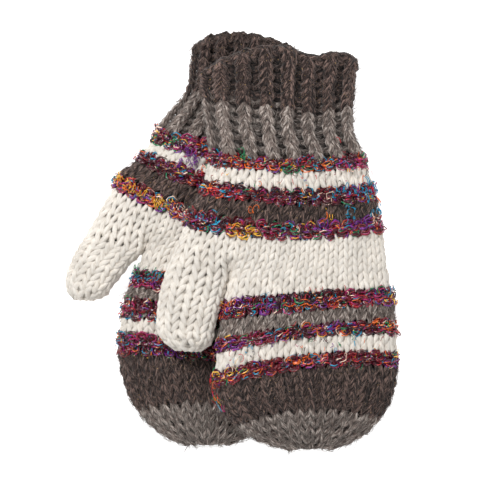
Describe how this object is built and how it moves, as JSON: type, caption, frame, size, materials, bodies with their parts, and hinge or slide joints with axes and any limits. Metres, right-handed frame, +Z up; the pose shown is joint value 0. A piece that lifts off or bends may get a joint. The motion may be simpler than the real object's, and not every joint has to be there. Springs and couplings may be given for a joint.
{
  "type": "knitted mittens",
  "caption": "Pair of chunky hand-knitted, fleece-lined mittens with ribbed cuffs, striped bands, multicoloured purl ridges, rounded tips and side thumbs, laid flat and overlapping.",
  "frame": {"origin": "middle of the pair's outline on the surface it lies on", "axes": "+Y towards the cuffs, +X to the right of a viewer who looks straight down with the cuffs away from them, +Z up from the surface"},
  "size_m": [0.2228, 0.2756, 0.0547],
  "materials": {
    "dark_wool": "matte, hairy wool yarn",
    "grey_wool": "matte, heathered wool yarn",
    "cream_wool": "matte, plump wool yarn",
    "silk_mix": "slightly shiny multicoloured silk yarn",
    "fleece": "matte brushed pile"
  },
  "bodies": {
    "back_hand": {"back_cuff_dark": "dark_wool", "back_cuff_grey": "grey_wool", "back_fingers_dark": "dark_wool", "back_liner_fingers": "fleece", "back_liner_palm": "fleece", "back_liner_wrist": "fleece", "back_palm_cream": "cream_wool", "back_palm_gusset": "cream_wool", "back_ridge_1": "silk_mix", "back_ridge_2": "silk_mix", "back_ridge_3": "silk_mix", "back_ridge_4": "silk_mix", "back_ridge_5": "silk_mix", "back_ridge_6": "silk_mix", "back_stripe_cream_lower": "cream_wool", "back_stripe_cream_upper": "cream_wool", "back_stripe_dark": "dark_wool", "back_stripe_grey": "grey_wool", "back_tip_grey": "grey_wool"},
    "back_thumb": {"back_thumb": "cream_wool", "back_liner_thumb": "fleece"},
    "front_hand": {"front_liner_palm": "fleece", "front_liner_wrist": "fleece", "front_palm_cream": "cream_wool", "front_palm_gusset": "cream_wool", "front_ridge_1": "silk_mix", "front_ridge_2": "silk_mix", "front_ridge_3": "silk_mix", "front_ridge_4": "silk_mix", "front_stripe_cream_upper": "cream_wool", "front_stripe_dark": "dark_wool"},
    "front_thumb": {"front_thumb": "cream_wool", "front_liner_thumb": "fleece"},
    "front_cuff": {"front_cuff_dark": "dark_wool", "front_cuff_grey": "grey_wool"},
    "front_fingers": {"front_stripe_grey": "grey_wool", "front_ridge_5": "silk_mix", "front_stripe_cream_lower": "cream_wool", "front_ridge_6": "silk_mix", "front_fingers_dark": "dark_wool", "front_tip_grey": "grey_wool", "front_liner_fingers": "fleece"}
  },
  "joints": [
    {"name": "front_lift", "type": "slide", "parent": "back_hand", "child": "front_hand", "axis": [0, 0, 1], "range_m": [0, 0.12]},
    {"name": "back_thumb_swing", "type": "hinge", "parent": "back_hand", "child": "back_thumb", "pos_m": [-0.0795, -0.0035, 0], "axis": [0, 0, 1], "range_deg": [-30, 18]},
    {"name": "front_thumb_swing", "type": "hinge", "parent": "front_hand", "child": "front_thumb", "pos_m": [-0.02325, -0.022, 0], "axis": [0, 0, 1], "range_deg": [-30, 0]},
    {"name": "front_cuff_bend", "type": "hinge", "parent": "front_hand", "child": "front_cuff", "pos_m": [-0.014, 0.061, 0.0539], "axis": [0.9649, -0.0189, -0.2619], "range_deg": [0, 40]},
    {"name": "front_finger_curl", "type": "hinge", "parent": "front_hand", "child": "front_fingers", "pos_m": [-0.007, -0.05, 0.0582], "axis": [-0.9693, -0.0801, 0.2327], "range_deg": [0, 45]}
  ]
}
